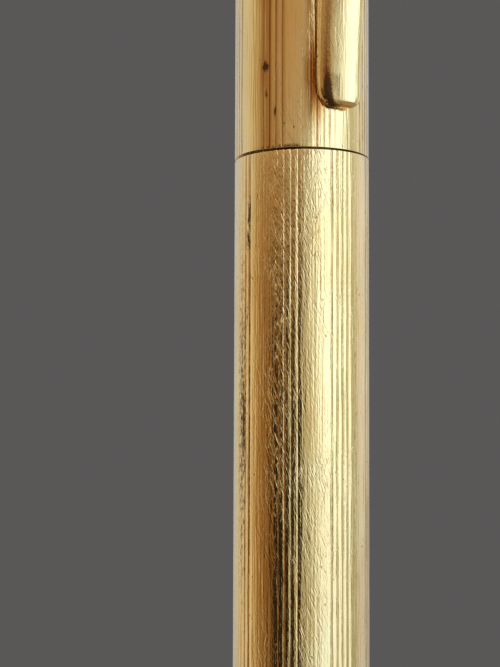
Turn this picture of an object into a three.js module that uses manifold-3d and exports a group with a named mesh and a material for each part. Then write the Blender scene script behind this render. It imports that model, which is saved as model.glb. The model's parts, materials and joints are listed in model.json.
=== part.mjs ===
// Mechanical pencil with a twist action, standing on its point: +Z up, clip towards -Y.
// Turning the cap turns a spiral tube, and the spiral drives a keyed carrier that feeds
// the lead. The cap pulls off upwards to reach the eraser and the spare leads.
// The origin is on the pencil's axis at the flat end of the lead. Units are millimetres.

import * as THREE from 'three';
import { mergeVertices } from 'three/addons/utils/BufferGeometryUtils.js';
import Module from 'manifold-3d';

const wasm = await Module();
wasm.setup();

const DEG = Math.PI / 180;

// Case: one outside diameter from the nose to the crown, parted by a thin seam.
const CASE_RADIUS = 4.3;
const SHELL_INNER_RADIUS = 3.82;
const LINER_RADIUS = 3.7;
const SEAM_Z = 76;
const SEAM_GAP = 0.18;
const CAP_TOP_Z = 130;
const CROWN_TOP_Z = 136;
const NOSE_SHOULDER_Z = 20;
const NOSE_SHOULDER_RADIUS = 4.05;

// Engraving: eight groups of four lengthwise lines with plain panels between them. A turn
// is how far a shell's lines stand from the clip, positive from -Y towards +X.
const LINE_GROUPS = 8;
const LINES_PER_GROUP = 4;
const LINE_SPACING_DEG = 5.6;
const LINE_HALF_WIDTH_DEG = 1.25;
const LINE_DEPTH = 0.1;
const PANEL_STEPS = 4;
const CAP_TURN_DEG = -8;
const BARREL_TURN_DEG = 5.3;

// Lead feed: the carrier drops one pitch for each turn of the cap.
const LEAD_RADIUS = 0.45;
const LEAD_LENGTH = 34;
const SPIRAL_PITCH = 8;
const SPIRAL_START_DEG = -105;
const SPIRAL_END_DEG = 1185;
const SPIRAL_STEP_DEG = 15;
const SPIRAL_HALF_WIDTH = 0.9;
const LUG_Z = 58;
const LUG_RADIUS = 0.5;

// Clip: a springy tongue that leans in until its end lies on the cap.
const CLIP_HALF_WIDTH_ROOT = 2;
const CLIP_HALF_WIDTH_END = 1.45;
const CLIP_THICKNESS = 0.62;
const CLIP_DOME = 0.42;
const CLIP_END_Z = 78.65;
const CLIP_END_CLEARANCE = 0.07;
const TONGUE_CORNER = 0.85;
const TONGUE_FALL_LENGTH = 2;
const TONGUE_FALL = 0.18;

const FINE = 48;
const MEDIUM = 32;
const COARSE = 24;
const SMALL = 16;
const TINY = 10;

// ---------------------------------------------------------------- shape helpers

// Turned piece: profile points are [radius, z], counter-clockwise with the axis on the left.
function turned(profile, segments) {
  const points = profile.map(([r, z]) => new THREE.Vector2(r, z));
  return new THREE.LatheGeometry(points, segments).rotateX(Math.PI / 2);
}

function rod(radius, z0, z1, segments) {
  return turned([[0, z0], [radius, z0], [radius, z1], [0, z1]], segments);
}

function tube(inner, outer, z0, z1, segments) {
  return turned([[inner, z0], [outer, z0], [outer, z1], [inner, z1], [inner, z0]], segments);
}

// Skin over a row of loops with equal point counts. An open row gets a fan at each end,
// and a closed row joins its last loop to its first.
function loft(loops, closed) {
  const count = loops[0].length;
  const index = [];
  const rows = closed ? loops.length : loops.length - 1;
  for (let row = 0; row < rows; row++) {
    const here = row * count;
    const next = ((row + 1) % loops.length) * count;
    for (let i = 0; i < count; i++) {
      const j = (i + 1) % count;
      index.push(here + i, here + j, next + i);
      index.push(here + j, next + j, next + i);
    }
  }
  if (!closed) {
    const last = (loops.length - 1) * count;
    for (let i = 1; i < count - 1; i++) {
      index.push(0, i + 1, i);
      index.push(last, last + i, last + i + 1);
    }
  }
  const geometry = new THREE.BufferGeometry();
  const positions = new Float32Array(loops.flat(2));
  geometry.setAttribute('position', new THREE.BufferAttribute(positions, 3));
  geometry.setIndex(index);
  return geometry;
}

function toManifold(geometry) {
  const bare = geometry.clone();
  bare.deleteAttribute('normal');
  bare.deleteAttribute('uv');
  const merged = mergeVertices(bare, 1e-4);
  return new wasm.Manifold(new wasm.Mesh({
    numProp: 3,
    vertProperties: Float32Array.from(merged.attributes.position.array),
    triVerts: Uint32Array.from(merged.index.array),
  }));
}

function toGeometry(manifold) {
  const mesh = manifold.getMesh();
  const geometry = new THREE.BufferGeometry();
  geometry.setAttribute('position', new THREE.BufferAttribute(mesh.vertProperties, 3));
  geometry.setIndex(new THREE.BufferAttribute(mesh.triVerts, 1));
  return geometry;
}

const cut = (body, tool) => toGeometry(toManifold(body).subtract(toManifold(tool)));
const fuse = (body, other) => toGeometry(toManifold(body).add(toManifold(other)));

// ---------------------------------------------------------------- engraved shells

// Stops around one shell: an angle, and whether it is the bottom of an engraved line.
function engravedStops(turnDeg) {
  const stops = [];
  const period = 360 / LINE_GROUPS;
  const groupHalf = (LINES_PER_GROUP - 1) / 2 * LINE_SPACING_DEG + LINE_HALF_WIDTH_DEG;
  for (let group = 0; group < LINE_GROUPS; group++) {
    const centre = turnDeg + group * period;
    for (let line = 0; line < LINES_PER_GROUP; line++) {
      const middle = centre + (line - (LINES_PER_GROUP - 1) / 2) * LINE_SPACING_DEG;
      stops.push({ angle: middle - LINE_HALF_WIDTH_DEG, engraved: false });
      stops.push({ angle: middle, engraved: true });
      stops.push({ angle: middle + LINE_HALF_WIDTH_DEG, engraved: false });
    }
    const panel = period - 2 * groupHalf;
    for (let step = 1; step < PANEL_STEPS; step++) {
      stops.push({ angle: centre + groupHalf + panel * step / PANEL_STEPS, engraved: false });
    }
  }
  return stops;
}

// Shell with engraved lines: rings are [z, radius, line depth] from the bottom up.
function engravedShell(rings, turnDeg) {
  const stops = engravedStops(turnDeg);
  const loopAt = (z, radius, depth) => stops.map(({ angle, engraved }) => {
    const r = engraved ? radius - depth : radius;
    return [r * Math.cos(angle * DEG), r * Math.sin(angle * DEG), z];
  });
  const bottom = rings[0][0];
  const top = rings[rings.length - 1][0];
  const loops = [loopAt(bottom, SHELL_INNER_RADIUS, 0)];
  for (const [z, radius, depth] of rings) {
    loops.push(loopAt(z, radius, depth));
  }
  loops.push(loopAt(top, SHELL_INNER_RADIUS, 0));
  return loft(loops, true);
}

// ---------------------------------------------------------------- nose and barrel

// Long convex nose, bored for the sleeve, the jaw, the guide tube and the spiral.
function noseCone() {
  const profile = [[0.95, 2.8], [1.2, 2.8]];
  const steps = 9;
  for (let i = 1; i <= steps; i++) {
    const t = i / steps;
    const swell = Math.sin(t * 74 * DEG) / Math.sin(74 * DEG);
    profile.push([1.2 + (NOSE_SHOULDER_RADIUS - 1.2) * swell, 2.8 + (NOSE_SHOULDER_Z - 2.8) * t]);
  }
  const spigot = [[3.65, NOSE_SHOULDER_Z], [3.65, 26], [3.05, 26], [3.05, 18]];
  const bores = [[1.95, 18], [1.95, 14], [1.25, 14], [1.25, 5], [0.95, 5], [0.95, 2.8]];
  profile.push(...spigot, ...bores);
  return turned(profile, FINE);
}

// The lower shell narrows a little towards the nose, and its lines run out there.
function lowerBarrel() {
  return engravedShell([
    [NOSE_SHOULDER_Z + 0.1, NOSE_SHOULDER_RADIUS, 0],
    [24.5, 4.17, 0],
    [28.5, 4.26, 0],
    [30, 4.28, LINE_DEPTH],
    [34, CASE_RADIUS, LINE_DEPTH],
    [SEAM_Z, CASE_RADIUS, LINE_DEPTH],
  ], BARREL_TURN_DEG);
}

// Guide tube with one straight slot towards +X for the carrier's lug.
function guideTube() {
  const wall = tube(1.4, 1.8, 14.3, 66, COARSE);
  const slot = new THREE.BoxGeometry(2, 1.4, 30).translate(1.8, 0, 46);
  return cut(wall, slot);
}

// ---------------------------------------------------------------- drive

// Helical ribbon swept through the spiral tube's wall, descending as the angle grows.
function spiralCutter() {
  const loops = [];
  for (let deg = SPIRAL_START_DEG; deg <= SPIRAL_END_DEG; deg += SPIRAL_STEP_DEG) {
    const z = LUG_Z - SPIRAL_PITCH * deg / 360;
    const c = Math.cos(deg * DEG);
    const s = Math.sin(deg * DEG);
    const corner = (r, dz) => [r * c, r * s, z + dz];
    const low = -SPIRAL_HALF_WIDTH;
    const high = SPIRAL_HALF_WIDTH;
    loops.push([corner(1.7, low), corner(1.7, high), corner(2.8, high), corner(2.8, low)]);
  }
  return loft(loops, false);
}

function driveCollar() {
  return turned([
    [2.6, 69.6], [LINER_RADIUS, 69.6], [LINER_RADIUS, 75.9], [3.25, 75.9], [3.25, 80],
    [2.95, 80], [2.95, 73.2], [2.6, 73.2], [2.6, 69.6],
  ], MEDIUM);
}

// Split ring that bears on the cap's liner.
function gripSpring() {
  const outline = new THREE.Shape();
  outline.absarc(0, 0, 3.28, 20 * DEG, 340 * DEG, false);
  outline.absarc(0, 0, 2.95, 340 * DEG, 20 * DEG, true);
  const options = { depth: 6, bevelEnabled: false, curveSegments: COARSE };
  return new THREE.ExtrudeGeometry(outline, options).translate(0, 0, 86);
}

// ---------------------------------------------------------------- feed

// Carrier with a side lug that passes the guide slot and rides in the spiral slot.
function leadCarrier() {
  const carrier = rod(1.25, LUG_Z - 2, LUG_Z + 2, COARSE);
  const lug = new THREE.CylinderGeometry(LUG_RADIUS, LUG_RADIUS, 1.65, 12);
  lug.rotateZ(Math.PI / 2).translate(1.625, 0, LUG_Z);
  return fuse(carrier, lug);
}

// ---------------------------------------------------------------- crown

function finial() {
  return turned([
    [0, 134], [1.3, 134], [1.3, 131.1], [CASE_RADIUS, 131.1], [CASE_RADIUS, 131.7],
    [4.05, 131.95], [3.95, 132.35], [4.02, 132.75], [3.98, 133.4], [3.72, 134.2],
    [3.25, 134.95], [2.65, 135.6], [2.0, CROWN_TOP_Z], [0, CROWN_TOP_Z],
  ], FINE);
}

function finialScrew() {
  return turned([
    [0, 125.2], [2.3, 125.2], [2.3, 126.2], [1.1, 126.2], [1.1, 133.7], [0, 133.7],
  ], COARSE);
}

// ---------------------------------------------------------------- clip

// Stations along the clip's middle line as [y, z], from the ring outwards, over the
// shoulder and down to the tongue, with the last few spaced for its rounded end.
function clipStations() {
  const endY = -(CASE_RADIUS + CLIP_END_CLEARANCE + CLIP_THICKNESS / 2);
  const line = new THREE.SplineCurve([
    new THREE.Vector2(-4.42, 130.55),
    new THREE.Vector2(-5.1, 130.55),
    new THREE.Vector2(-5.75, 130.4),
    new THREE.Vector2(-6.25, 129.8),
    new THREE.Vector2(-6.4, 128.6),
    new THREE.Vector2(-6.3, 122),
    new THREE.Vector2(-5.9, 108),
    new THREE.Vector2(-5.42, 94),
    new THREE.Vector2(endY - 0.34, 86),
    new THREE.Vector2(endY - 0.1, 82.4),
    new THREE.Vector2(endY, CLIP_END_Z + TONGUE_FALL_LENGTH),
  ]);
  const stations = [];
  const steps = 24;
  for (let i = 0; i <= steps; i++) {
    stations.push(line.getPointAt(i / steps));
  }
  for (const above of [1.35, 0.85, 0.55, 0.3, 0.12, 0]) {
    stations.push(new THREE.Vector2(endY, CLIP_END_Z + above));
  }
  return stations;
}

// Tapering strip with a domed outer face and a rounded tongue end.
function clipBlade() {
  const stations = clipStations();
  const across = 8;
  const half = CLIP_THICKNESS / 2;
  const length = CAP_TOP_Z - CLIP_END_Z;
  const loops = stations.map((point, i) => {
    const before = stations[Math.max(i - 1, 0)];
    const after = stations[Math.min(i + 1, stations.length - 1)];
    const along = after.clone().sub(before).normalize();
    const out = new THREE.Vector2(along.y, -along.x);
    const down = THREE.MathUtils.clamp((CAP_TOP_Z - point.y) / length, 0, 1);
    const toEnd = point.y - CLIP_END_Z;
    const rounding = Math.max(1 - toEnd / TONGUE_CORNER, 0);
    const inset = (1 - Math.sqrt(1 - rounding * rounding)) * TONGUE_CORNER;
    const width = THREE.MathUtils.lerp(CLIP_HALF_WIDTH_ROOT, CLIP_HALF_WIDTH_END, down) - inset;
    const at = (x, offset) => [x, point.x + out.x * offset, point.y + out.y * offset];
    const face = half - TONGUE_FALL * Math.max(1 - toEnd / TONGUE_FALL_LENGTH, 0) ** 2;
    const loop = [];
    for (let k = 0; k <= across; k++) {
      const u = 1 - 2 * k / across;
      loop.push(at(width * u, face - CLIP_DOME * Math.abs(u) ** 2.5));
    }
    loop.push(at(-width * 0.96, -half), at(0, -half), at(width * 0.96, -half));
    return loop;
  });
  return loft(loops, false);
}

// ---------------------------------------------------------------- eraser unit

function eraserFerrule() {
  return turned([
    [0.38, 110], [0.9, 110], [0.9, 112], [1.9, 112], [1.9, 108.5], [2.35, 108.5],
    [2.35, 112.2], [2.85, 112.2], [2.85, 116], [2.45, 116], [2.45, 113], [0.38, 113],
    [0.38, 110],
  ], COARSE);
}

function eraserPlug() {
  return turned([
    [0, 113.05], [2.3, 113.05], [2.3, 117.5], [2.05, 118.1], [1.4, 118.5], [0, 118.5],
  ], COARSE);
}

// ---------------------------------------------------------------- assembly

const GOLD = { color: 0xc9a15a, roughness: 0.28, metalness: 1 };
const BRASS = { color: 0xb08d4f, roughness: 0.45, metalness: 1 };
const STEEL = { color: 0x9a9a98, roughness: 0.4, metalness: 1 };
const GRAPHITE = { color: 0x2b2b2d, roughness: 0.6, metalness: 0 };
const RUBBER = { color: 0xa8564a, roughness: 0.9, metalness: 0 };

const pencil = new THREE.Group();
pencil.name = 'mechanical_pencil';

function addPiece(name, geometry, finish) {
  const mesh = new THREE.Mesh(geometry, new THREE.MeshStandardMaterial(finish));
  mesh.name = name;
  pencil.add(mesh);
}

addPiece('nose_cone', noseCone(), GOLD);
addPiece('lead_sleeve', tube(0.52, 0.85, 1, 4.8, SMALL), GOLD);
addPiece('lower_barrel', lowerBarrel(), GOLD);
addPiece('barrel_liner', tube(3.2, LINER_RADIUS, 26.2, 68, MEDIUM), BRASS);
addPiece('guide_tube', guideTube(), BRASS);
addPiece('guide_bush', tube(1.9, 2.95, 18.2, 25, COARSE), BRASS);
addPiece('friction_washer', tube(3.15, LINER_RADIUS, 68, 69.3, MEDIUM), STEEL);

addPiece('spiral_tube', cut(tube(1.95, 2.5, 28, 72.6, COARSE), spiralCutter()), BRASS);
addPiece('spiral_sleeve', tube(2.65, 3.05, 28, 69.5, COARSE), BRASS);
addPiece('drive_collar', driveCollar(), BRASS);
addPiece('magazine_tube', tube(2.45, 2.85, 73.2, 112, COARSE), BRASS);
addPiece('magazine_floor', rod(2.36, 73.2, 74.6, COARSE), BRASS);
addPiece('grip_spring', gripSpring(), STEEL);

addPiece('lead_carrier', leadCarrier(), STEEL);
addPiece('push_rod', rod(0.42, LEAD_LENGTH + 0.2, LUG_Z - 2, TINY), STEEL);
addPiece('lead_jaw', tube(0.5, 1, LEAD_LENGTH - 2, LEAD_LENGTH + 2, SMALL), BRASS);
addPiece('lead', rod(LEAD_RADIUS, 0, LEAD_LENGTH, 12), GRAPHITE);

addPiece('upper_barrel', engravedShell([
  [SEAM_Z + SEAM_GAP, CASE_RADIUS, LINE_DEPTH],
  [127, CASE_RADIUS, LINE_DEPTH],
  [128.2, CASE_RADIUS, 0],
  [CAP_TOP_Z, CASE_RADIUS, 0],
], CAP_TURN_DEG), GOLD);
addPiece('cap_liner', tube(3.35, LINER_RADIUS, 77, 122, MEDIUM), BRASS);
addPiece('cap_plug', tube(1.3, LINER_RADIUS, 126.2, CAP_TOP_Z, MEDIUM), BRASS);
addPiece('clip_ring', tube(1.4, CASE_RADIUS, 130.1, 131, FINE), GOLD);
addPiece('finial', finial(), GOLD);
addPiece('finial_screw', finialScrew(), STEEL);

addPiece('clip_blade', clipBlade(), GOLD);

addPiece('eraser_ferrule', eraserFerrule(), GOLD);
addPiece('eraser', eraserPlug(), RUBBER);
addPiece('clean_out_pin', rod(0.3, 97, 112.9, TINY), STEEL);

const SPARE_LEADS = 4;
for (let i = 0; i < SPARE_LEADS; i++) {
  const angle = (45 + i * 90) * DEG;
  const spare = rod(LEAD_RADIUS, 74.7, 102.7, TINY);
  spare.translate(1.5 * Math.cos(angle), 1.5 * Math.sin(angle), 0);
  addPiece(`spare_lead_${i + 1}`, spare, GRAPHITE);
}

export default pencil;
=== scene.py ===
"""Looks of a gold-filled twist-action mechanical pencil, built round its CAD frame.

The frame is in metres with +Z along the pencil from the point to the crown and the clip
towards -Y. Sizes of the pieces are written in millimetres and scaled as meshes are made.
"Turn" is the angle round the pencil from the clip towards +X.
"""
import json
import math

import bmesh
import bpy
import numpy as np
from mathutils import Matrix, Vector


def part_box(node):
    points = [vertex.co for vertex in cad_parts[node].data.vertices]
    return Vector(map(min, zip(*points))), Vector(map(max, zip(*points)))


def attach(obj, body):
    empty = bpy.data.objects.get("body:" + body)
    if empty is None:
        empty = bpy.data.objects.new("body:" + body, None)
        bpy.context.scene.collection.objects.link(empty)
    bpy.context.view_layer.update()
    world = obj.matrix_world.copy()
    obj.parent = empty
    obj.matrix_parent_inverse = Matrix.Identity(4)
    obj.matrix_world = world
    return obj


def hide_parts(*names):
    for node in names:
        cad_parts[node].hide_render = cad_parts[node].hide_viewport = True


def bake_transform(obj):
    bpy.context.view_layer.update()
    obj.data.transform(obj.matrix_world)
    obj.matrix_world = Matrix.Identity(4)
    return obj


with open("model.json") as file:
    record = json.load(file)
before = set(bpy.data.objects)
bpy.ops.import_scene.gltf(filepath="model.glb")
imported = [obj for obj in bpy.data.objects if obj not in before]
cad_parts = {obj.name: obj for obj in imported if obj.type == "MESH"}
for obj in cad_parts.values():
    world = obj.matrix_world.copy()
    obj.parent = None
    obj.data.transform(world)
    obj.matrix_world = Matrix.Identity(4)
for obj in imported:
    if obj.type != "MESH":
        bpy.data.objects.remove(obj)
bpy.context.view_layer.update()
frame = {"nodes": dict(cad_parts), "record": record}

MM = 0.001
TAU = 2 * math.pi
SHARP_DEG = 40
FILLET_STEPS = 4

# Case
CASE_RADIUS = 4.3
SHELL_INNER_RADIUS = 3.82
SHELL_INNER_ROWS = 12
SHELL_END_ROUNDING = 0.02
SHELL_SHARP_DEG = 50
BARREL_OUTLINE = ((24.5, 4.17), (28.5, 4.26), (30, 4.28), (34, CASE_RADIUS))
BARREL_SEED = 11
CAP_SEED = 23
DENT_DEPTH = 0.003
RIPPLE_DEPTH = 0.002
ROW_STEP = 0.5

# The photo shows the case between about these heights, and its rows stand closer there
CLOSE_UP = (40, 90)
CLOSE_UP_ROW_STEP = 0.22

# The shells' edges at the seam are sharper towards this turn, and the barrel's stands
# higher there, so that the seam is thinner. Both changes fade out over the reach.
SEAM_ROUNDING = 0.045
SEAM_SHARPENING = 0.75
SEAM_LEAN = 0.08
SEAM_LEAN_DEG = 62
SEAM_REACH = 1.0

# Nose
NOSE_TIP_RADIUS = 1.2
NOSE_SHOULDER_RADIUS = 4.05
NOSE_SPIGOT = 6.0
NOSE_ARC_DEG = 74
NOSE_STEPS = 24

# Engraving: groups of fine lengthwise lines
LINE_GROUPS = 8
LINES_PER_GROUP = 4
LINE_SPACING_DEG = 5.6
LINE_HALF_WIDTH = 0.075
LINE_DEPTH = 0.03
LINE_SHAPE_POWER = 0.62
LINE_BED_ROUNDING = 0.006
LINE_SINK = 0.03
LINE_WANDER_DEG = 0.045
LINE_SWELL = 0.11
LINE_SWELL_LIMITS = (0.6, 1.2)
LINE_TARNISH = 0.6
LINE_END_POWER = 0.7
CAP_TURN_DEG = -8
CAP_LINES_END = 128.2
CAP_LINES_FADE = 1.2
BARREL_TURN_DEG = 5.3
BARREL_LINES_START = 28.5
BARREL_LINES_FADE = 1.5
LINE_STEPS = 9
PANEL_STEPS = 11

# Brown film that the engraved lines hold
CAP_LINE_FILM = 0.4
BARREL_LINE_FILM = 0.1

# Lines that are cut less deeply: their number round the case, and the share of full depth
CAP_CUTS = {0: 0.6, 1: 0.5, 2: 0.5, 3: 0.5}
BARREL_CUTS = {24: 0.5, 25: 0.6, 26: 0.95, 28: 0.48, 29: 0.9, 30: 0.85, 31: 0.74}

# Brown marks on the shells, stains that are blotchy and films that are even, and among the cap's
# films a painted shadow of the clip: turn in degrees, height, half extents of both, strength
CAP_STAINS = (
    (-60, 81.3, 3.2, 0.3, 1.7),
    (-59.4, 79.6, 1.4, 0.3, 1.3),
    (-63.5, 77.3, 1.2, 0.2, 1.0),
    (-51, 78.5, 1.2, 0.5, 0.9),
    (120, 95, 3, 6, 0.8),
    (66, 104, 2, 1.2, 1.0),
)
CAP_FILMS_AND_PAINTED_SHADOW = (
    (-61.5, 84, 2.6, 12, 0.2),
    (-61.4, 86, 0.9, 40, 0.45),
    (-58.6, 86, 0.9, 40, 0.2),
    (-55.8, 86, 0.8, 40, 0.85),
    (-50.2, 86, 0.8, 40, 0.45),
    (-44.6, 86, 0.8, 40, 0.38),
    (-61, 80.8, 3.0, 1.7, 0.38),
    # These two films paint the clip's shadow on the cap beside its left edge
    (-17, 80.6, 6.2, 2.1, 1.1),
    (-22.8, 85.5, 1.5, 3.5, 0.36),
    (110, 100, 8, 9, 0.12),
    (-140, 88, 6, 8, 0.12),
)
BARREL_STAINS = (
    (-77.5, 72.3, 2.7, 1.4, 1.5),
    (-78.5, 70.6, 3.0, 0.8, 1.4),
    (-76.4, 60, 1.0, 14, 1.15),
    (-87, 60, 10, 15, 1.0),
    (-84.5, 59.3, 2.4, 3.2, 1.8),
    (-80, 66, 1.6, 1.6, 1.3),
    (-69, 73.3, 1.1, 0.24, 1.9),
    (-67.6, 72, 1.1, 0.25, 1.2),
    (22, 58, 5, 22, 0.65),
    (-40, 52, 8, 18, 0.62),
    (140, 52, 3, 9, 0.8),
    (40, 38, 2.5, 2, 0.9),
)
BARREL_FILMS = (
    (130, 60, 9, 12, 0.12),
)

# Clip. Places across it go from -1 at its left edge to 1 at its right.
CLIP_HALF_WIDTH_ROOT = 2.0
CLIP_HALF_WIDTH_END = 1.45
CLIP_LEFT_TRIM = 0.1
CLIP_BACK = 0.31
CLIP_CREST_ROOT = 0.29
CLIP_CREST_END = 0.46
CLIP_CREST_GROWTH = 1.4
CLIP_SIDE_WALL = 0.1
CLIP_END_Y = -4.68
CLIP_TWIST_DEG = 9
CLIP_TWIST_GROWTH = 1.2
CLIP_SHIFT = 0.06

# Its arch: a power of a half circle that leans to the right and ends on the left in a
# straight wall, then the left half of its back as (place, height over the back)
CLIP_ARCH_POWER = 0.425
CLIP_ARCH_LEAN = 0.3
CLIP_ARCH_PEAK = 1.05
CLIP_ARCH_EDGE = 0.89
CLIP_ARCH_STEPS = 29
CLIP_ARCH_EDGE_STEP = 0.007
CLIP_WALL = (-CLIP_ARCH_EDGE - CLIP_ARCH_EDGE_STEP, -0.915, -0.94, -0.97, -1)
CLIP_WALL_FOOT = 0.03
CLIP_BACK_HALF = ((-0.985, 0.02), (-0.93, 0), (-0.5, 0))

# Its tongue-shaped end: size and reach of each corner, then how the crest falls and the
# back rises towards the end
TONGUE_CORNERS = {-1: (0.8, 1.25), 1: (0.75, 0.8)}
TONGUE_FALL_LENGTH = 0.42
TONGUE_FALL_LEAN = 0.4
TONGUE_FALL_TO = 0.3
TONGUE_NOSE = 0.26
TONGUE_NOSE_RISE = 0.6
TONGUE_ROWS = (
    1.7, 1.4, 1.15, 0.98, 0.84, 0.73, 0.64, 0.56, 0.49, 0.42, 0.36, 0.3, 0.25, 0.2,
    0.155, 0.115, 0.08, 0.05, 0.026, 0.01, 0)

# Grime on the clip's left flank and its corner, painted shade on its flank, corner and nose, and a
# painted highlight on its left edge: each place, along the clip from its end or across it, is
# written as middle and spread
CLIP_MARKS_TOP = 125
CORNER_GRIME = 0.95
CORNER_GRIME_ALONG = (1.0, 0.95)
CORNER_GRIME_ACROSS = (-0.6, 0.22)
FLANK_GRIME = 0.42
FLANK_GRIME_ABOVE = 0.1
FLANK_GRIME_ACROSS = (-0.62, 0.15)
# Painted shade: a dark reflection along the foot of the clip's end, laid in blots like grime
NOSE_PAINTED_SHADE = 0.7
NOSE_PAINTED_SHADE_ALONG = (0, 0.3)
NOSE_PAINTED_SHADE_FADE = 3
# Painted shade: the brown band down the clip's left flank, deeper near its corner
FLANK_PAINTED_SHADE = 0.3
CORNER_PAINTED_SHADE = 0.2
CORNER_PAINTED_SHADE_ALONG = (1.8, 1.6)
FLANK_PAINTED_SHADE_ACROSS = (-0.66, 0.17)
# Painted highlight: a lighter, cooler rim on the clip's left edge
EDGE_PAINTED_HIGHLIGHT = 0.06

# Gold and its grime, which also paints shade along the clip's end, and the share of red, green and
# blue light that comes back through a full brown film. The film also paints shade, and where it is
# below zero it paints a highlight
GOLD_BRIGHT = (0.9, 0.63, 0.28)
GOLD_DEEP = (0.83, 0.52, 0.195)
GRIME_AND_SHADE_BROWN = (0.065, 0.027, 0.01)
FILM_AND_PAINTED_LIGHT_TINT = (0.2, 0.06, 0.015)

# The gold is rubbed and scuffed most on three sides, the first at this turn
RUBBED_SIDES = 3
RUBBED_TURN = math.radians(-34)

# Camera, in metres and degrees
CAMERA_AZIMUTH_DEG = -28.5
CAMERA_DISTANCE = 0.0767
CAMERA_HEIGHT = 0.06105
CAMERA_YAW_DEG = 2.46
CAMERA_PITCH_DEG = 2.95
CAMERA_ROLL_DEG = 0.2
CAMERA_LENS = 64.77
CAMERA_SENSOR = 36
CAMERA_CLIP = (0.001, 10)

# Surroundings, in metres
TENT_RADIUS = 0.3
TENT_LOW = -0.09
TENT_HIGH = 0.42
TENT_SEGMENTS = 180
FLOOR_RADIUS = 0.19
BACKGROUND = (0.102, 0.097, 0.096)

# What stands round the pencil: degrees round it from the camera towards the picture's
# right, and the light from there near and below the horizon, then higher up
SURROUND = (
    (-180, (0.45, 0.5, 0.56), (0.42, 0.48, 0.56)),
    (-150, (0.62, 0.7, 0.78), (0.6, 0.7, 0.85)),
    (-106, (0.84, 0.88, 0.84), (0.66, 0.74, 0.8)),
    (-95, (0.82, 0.78, 0.6), (0.7, 0.72, 0.64)),
    (-85, (0.5, 0.36, 0.18), (0.48, 0.4, 0.25)),
    (-68, (0.285, 0.16, 0.07), (0.415, 0.32, 0.2)),
    (-52, (0.295, 0.18, 0.08), (0.415, 0.31, 0.2)),
    (-46, (0.02, 0.012, 0.008), (0.44, 0.335, 0.228)),
    (-8, (0.018, 0.012, 0.008), (0.515, 0.405, 0.275)),
    (-1, (0.54, 0.6, 0.57), (0.49, 0.41, 0.3)),
    (14, (0.65, 0.73, 0.75), (0.56, 0.58, 0.57)),
    (25, (0.9, 1.1, 1.2), (0.8, 0.95, 1.2)),
    (36, (1.4, 1.92, 2.75), (1.45, 1.97, 2.9)),
    (74, (1.45, 1.97, 2.8), (1.45, 1.97, 2.9)),
    (82, (0.47, 0.6, 0.53), (0.57, 0.69, 0.7)),
    (99, (0.56, 0.69, 0.67), (0.62, 0.75, 0.75)),
    (112, (0.92, 1.05, 1.3), (0.84, 1.0, 1.35)),
    (130, (0.9, 1.06, 1.45), (0.8, 1.0, 1.35)),
    (150, (0.4, 0.44, 0.52), (0.4, 0.46, 0.56)),
)

# Heights on the tent between which the lower light gives way to the higher. They stand a
# step higher on the right of the camera; the step's angles are in radians.
HORIZON = (0.08, 0.14)
HORIZON_STEP = 0.02
HORIZON_STEP_EDGE = (-0.35, 0.0)

# Two cards on the tent, a dark one high on the right of the camera and a glare over the
# horizon behind it. Angles are in radians towards the right and heights in metres, each as
# where the card begins and where it is full.
DARK_CARD = {"edge": (0.03, 0.28), "other_edge": (0.42, 0.3),
             "foot": (0.136, 0.16), "head": (0.19, 0.17)}
DARK_CARD_GLOW = (0.08, 0.045, 0.02)
GLARE_CARD = {"edge": (-0.9, -0.2), "other_edge": (0.6, 0.2),
              "foot": (0.127, 0.138), "head": (0.149, 0.141)}
GLARE = (1.3, 1.75, 2.4)

# The tent's strength between two heights, how much weaker it is low down on the right,
# and the light of its floor
TENT_STRENGTH_HEIGHTS = (-0.06, 0.2)
TENT_STRENGTH = (0.88, 1.06)
LOW_RIGHT_FADE = 0.16
LOW_RIGHT_EDGE = (-0.1, 0.2)
LOW_RIGHT_HEIGHTS = (0.08, -0.02)
TENT_FLOOR = (0.5, 0.44, 0.36)
TENT_FLOOR_RIM = 0.02


def span(node):
    """Lowest and highest place of a node along the pencil, in millimetres."""
    low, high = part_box(node)
    return round(low[2] / MM, 4), round(high[2] / MM, 4)


# ------------------------------------------------------------------ mesh helpers

def link(mesh, name):
    piece = bpy.data.objects.new(name, mesh)
    bpy.context.collection.objects.link(piece)
    return piece


def finish_mesh(mesh, sharp_deg):
    mesh.update(calc_edges=True)
    mesh.validate()
    mesh.shade_smooth()
    mesh.set_sharp_from_angle(angle=math.radians(sharp_deg))


def skin(name, grid, wrap_rows, sharp_deg, attributes):
    """Skin over a (rows, columns, 3) grid in millimetres whose columns go all the way round.
    Wrapped rows close into a ring; open rows get a face over each end."""
    rows, columns, _ = grid.shape
    index = np.arange(rows * columns).reshape(rows, columns)
    below = index if wrap_rows else index[:-1]
    above = np.roll(index, -1, axis=0) if wrap_rows else index[1:]
    quads = np.stack([below, np.roll(below, -1, 1), np.roll(above, -1, 1), above], -1)
    loops = quads.ravel().tolist()
    starts = list(range(0, len(loops), 4))
    if not wrap_rows:
        for end in (index[0][::-1], index[-1]):
            starts.append(len(loops))
            loops.extend(end.tolist())
    mesh = bpy.data.meshes.new(name)
    mesh.vertices.add(rows * columns)
    mesh.vertices.foreach_set("co", (grid * MM).astype(np.float32).ravel())
    mesh.loops.add(len(loops))
    mesh.loops.foreach_set("vertex_index", loops)
    mesh.polygons.add(len(starts))
    mesh.polygons.foreach_set("loop_start", starts)
    for key, values in attributes.items():
        layer = mesh.attributes.new(key, "FLOAT", "POINT")
        layer.data.foreach_set("value", values.astype(np.float32).ravel())
    finish_mesh(mesh, sharp_deg)
    return link(mesh, name)


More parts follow.
